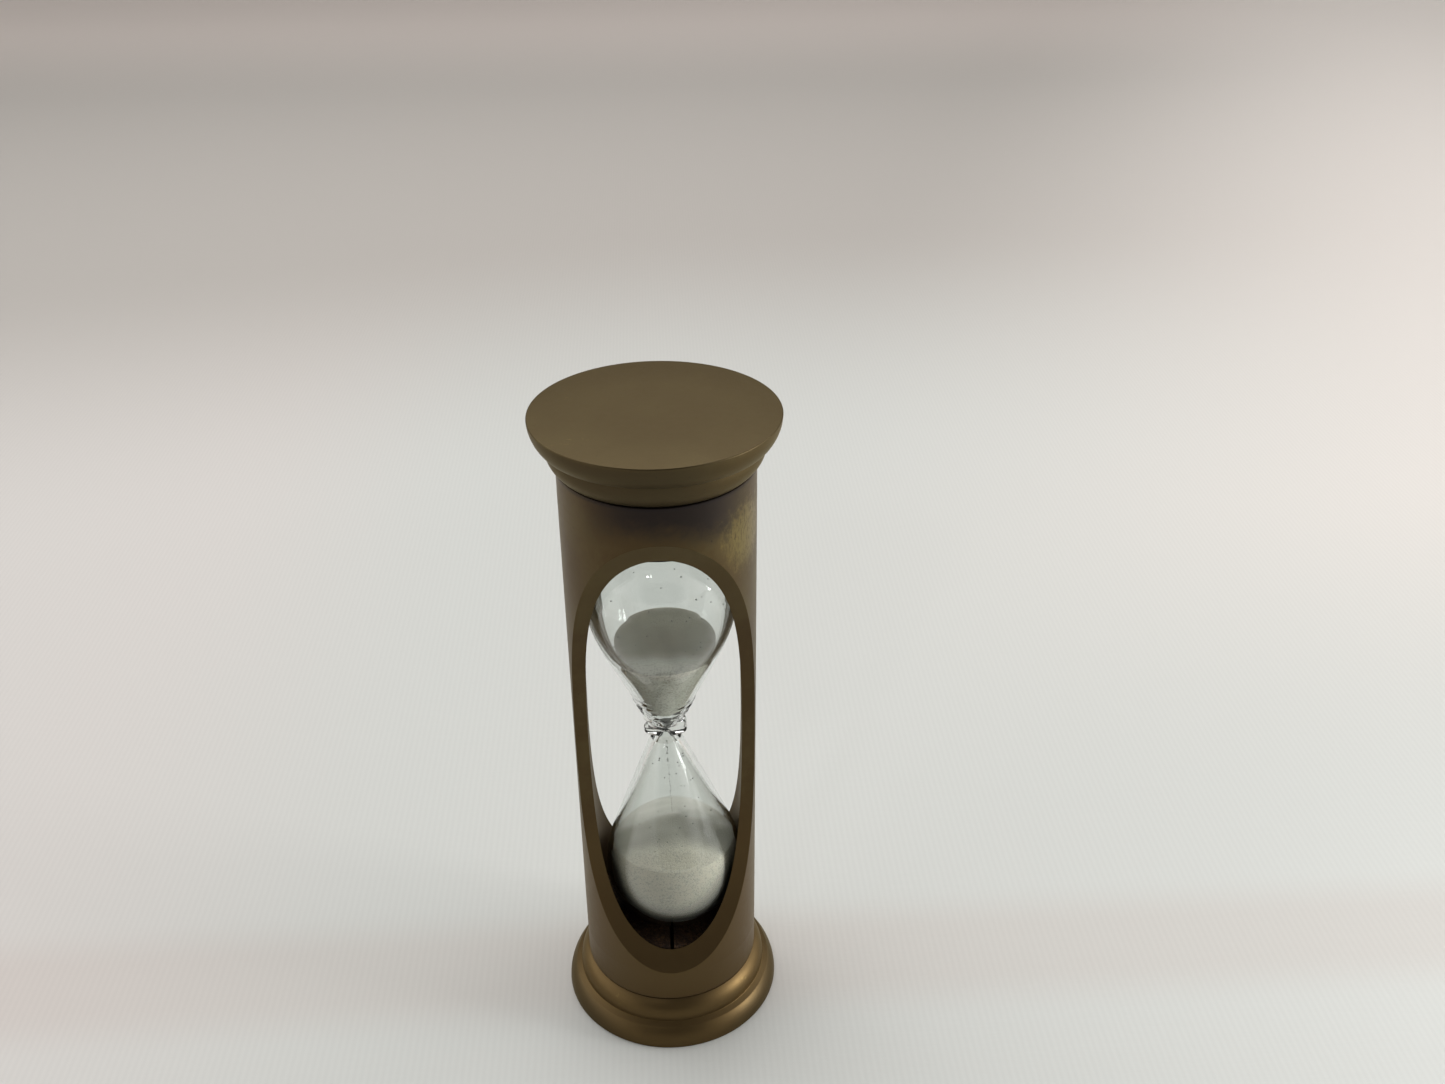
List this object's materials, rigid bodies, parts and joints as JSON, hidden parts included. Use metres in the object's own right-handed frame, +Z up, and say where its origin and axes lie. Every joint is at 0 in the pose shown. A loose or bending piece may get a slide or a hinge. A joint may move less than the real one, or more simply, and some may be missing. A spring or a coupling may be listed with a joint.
{
  "type": "hourglass",
  "caption": "Hourglass in a turned brass case: a windowed tube with moulded end caps holds a blown glass vial of sand and can be stood on either end.",
  "frame": {"origin": "centre of the foot's flat underside", "axes": "+Z up the axis of the tube; the windows face -Y, the front, and +Y"},
  "size_m": [0.04, 0.04, 0.1205],
  "materials": {
    "tube_brass": "dull antique brass with brown tarnish",
    "cap_brass": "dull antique brass, turned, worn at the edges",
    "clear_glass": "clear blown glass",
    "sand": "fine pale sand",
    "cushion_leather": "dark brown leather"
  },
  "bodies": {
    "case": {"body_tube": "tube_brass", "glass_vial": "clear_glass", "upper_sand": "sand", "lower_sand": "sand", "bottom_cushion": "cushion_leather", "top_cushion": "cushion_leather"},
    "top_end": {"top_cap": "cap_brass"},
    "bottom_end": {"bottom_cap": "cap_brass"}
  },
  "joints": [
    {"name": "top_cap_pull", "type": "slide", "parent": "case", "child": "top_end", "axis": [0, 0, 1], "range_m": [0, 0.015]},
    {"name": "bottom_cap_pull", "type": "slide", "parent": "case", "child": "bottom_end", "axis": [0, 0, -1], "range_m": [0, 0.015]}
  ]
}
